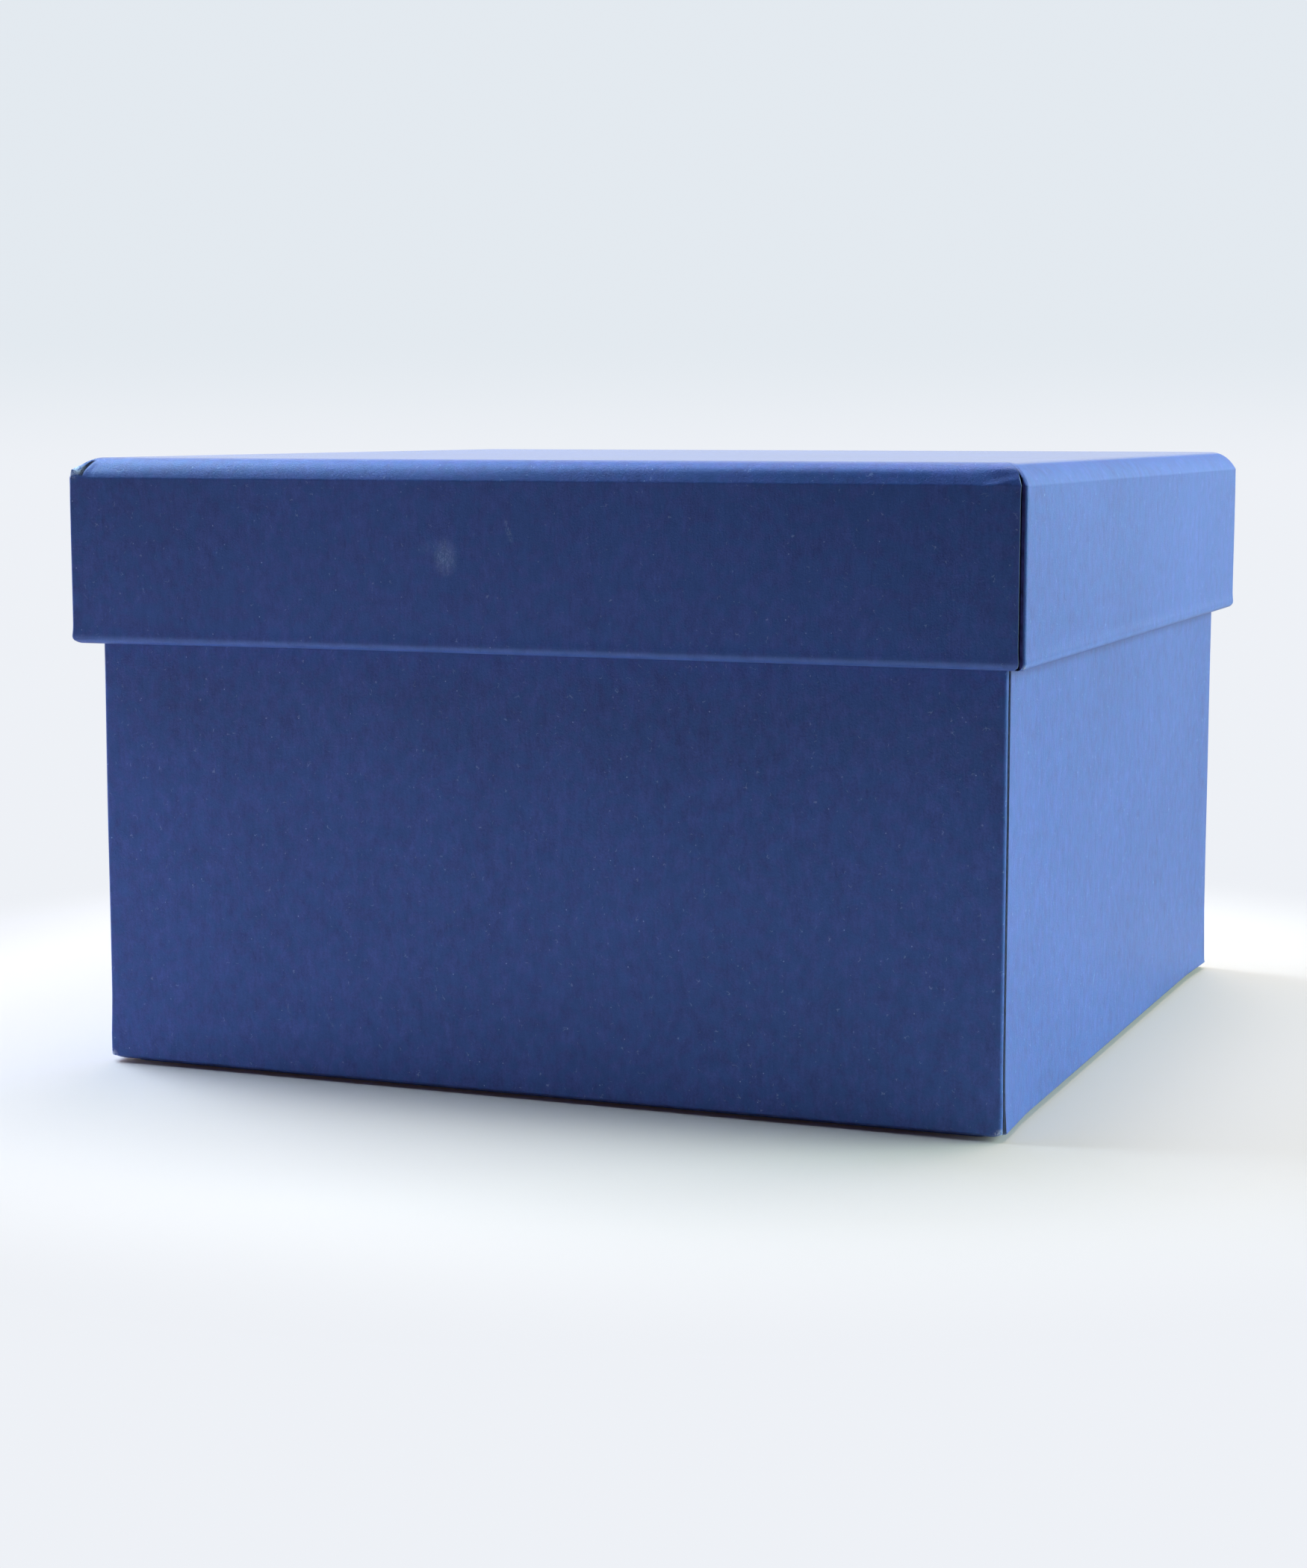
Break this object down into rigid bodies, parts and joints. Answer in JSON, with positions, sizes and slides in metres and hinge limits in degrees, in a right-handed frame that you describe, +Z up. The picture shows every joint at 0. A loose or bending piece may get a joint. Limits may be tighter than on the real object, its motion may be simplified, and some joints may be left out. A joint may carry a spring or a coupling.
{
  "type": "gift box",
  "caption": "Square rigid gift box with a deep lift-off lid, paper-wrapped board base and lid with folded corners and pale linings.",
  "frame": {"origin": "middle of the underside, on the surface that the closed box stands on", "axes": "+Z up, the way the lid lifts; the front looks along -Y; +X to the right of the front"},
  "size_m": [0.16, 0.16, 0.1006],
  "materials": {
    "greyboard": "uncoated grey chipboard",
    "blue_paper": "satin-coated dark blue wrapping paper with a faint vertical grain",
    "lining_paper": "matt off-white lining paper",
    "kraft_tape": "gummed kraft paper tape"
  },
  "bodies": {
    "base": {"base_board": "greyboard", "base_wrap": "blue_paper", "base_lining": "lining_paper", "base_bottom_sheet": "blue_paper", "base_stay_front_left": "kraft_tape", "base_stay_front_right": "kraft_tape", "base_stay_back_left": "kraft_tape", "base_stay_back_right": "kraft_tape"},
    "lid": {"lid_board": "greyboard", "lid_wrap": "blue_paper", "lid_lining": "lining_paper", "lid_stay_front_left": "kraft_tape", "lid_stay_front_right": "kraft_tape", "lid_stay_back_left": "kraft_tape", "lid_stay_back_right": "kraft_tape"}
  },
  "joints": [
    {"name": "lid_lift", "type": "slide", "parent": "base", "child": "lid", "axis": [0, 0, 1], "range_m": [0, 0.07]}
  ]
}
